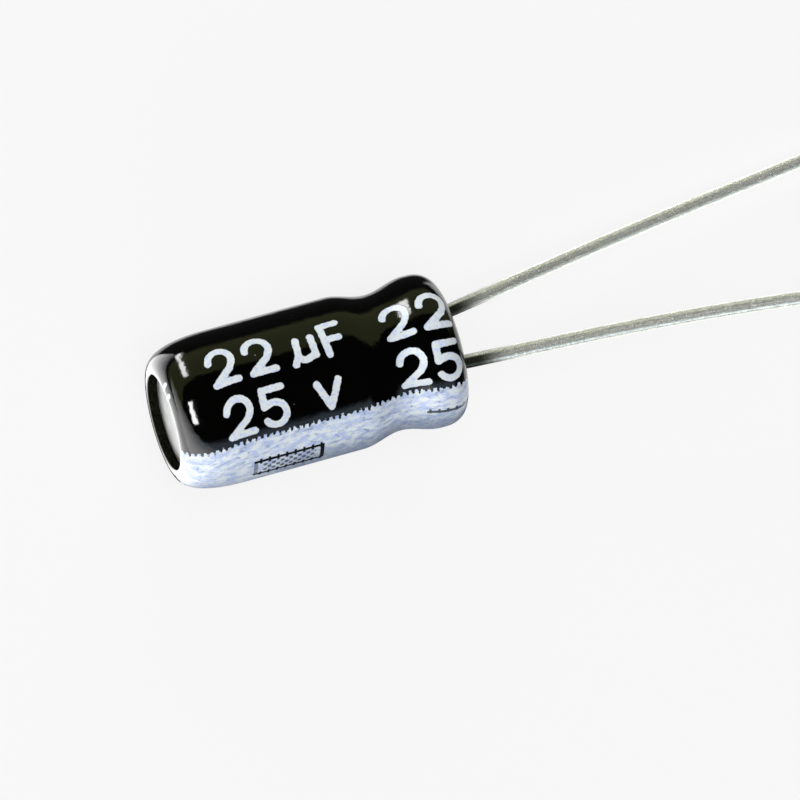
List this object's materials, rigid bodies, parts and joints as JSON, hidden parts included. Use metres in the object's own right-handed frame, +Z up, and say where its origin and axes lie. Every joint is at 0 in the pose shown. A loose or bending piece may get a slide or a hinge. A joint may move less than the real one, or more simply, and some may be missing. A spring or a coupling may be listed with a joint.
{
  "type": "radial electrolytic capacitor",
  "caption": "Small radial electrolytic capacitor in a black film sleeve, lying on its side with both cut tinned wires spreading from its seal end.",
  "frame": {"origin": "centre of the seat, the plane at the can's seal end that would stand on a board", "axes": "+X along the can's axis, out of the seal end the way the wires point; +Z up, away from the surface that the part lies on; the longer anode wire is on the +Y side"},
  "size_m": [0.0294, 0.0062, 0.005],
  "materials": {
    "film": "glossy shrink film",
    "can_metal": "drawn, smooth",
    "seal_rubber": "moulded, matt",
    "tinned_wire": "tinned steel wire, faint drawing lines",
    "tab_metal": "pressed, smooth",
    "anode_foil": "etched, matt",
    "cathode_foil": "etched, satin",
    "separator": "soaked paper",
    "winding_tape": "thin adhesive tape"
  },
  "bodies": {
    "root": {"sleeve": "film", "can": "can_metal", "end_seal": "seal_rubber", "anode_lead": "tinned_wire", "cathode_lead": "tinned_wire", "anode_tab": "tab_metal", "cathode_tab": "tab_metal", "anode_foil": "anode_foil", "cathode_foil": "cathode_foil", "inner_separator": "separator", "outer_separator": "separator", "winding_tape": "winding_tape"}
  },
  "joints": []
}
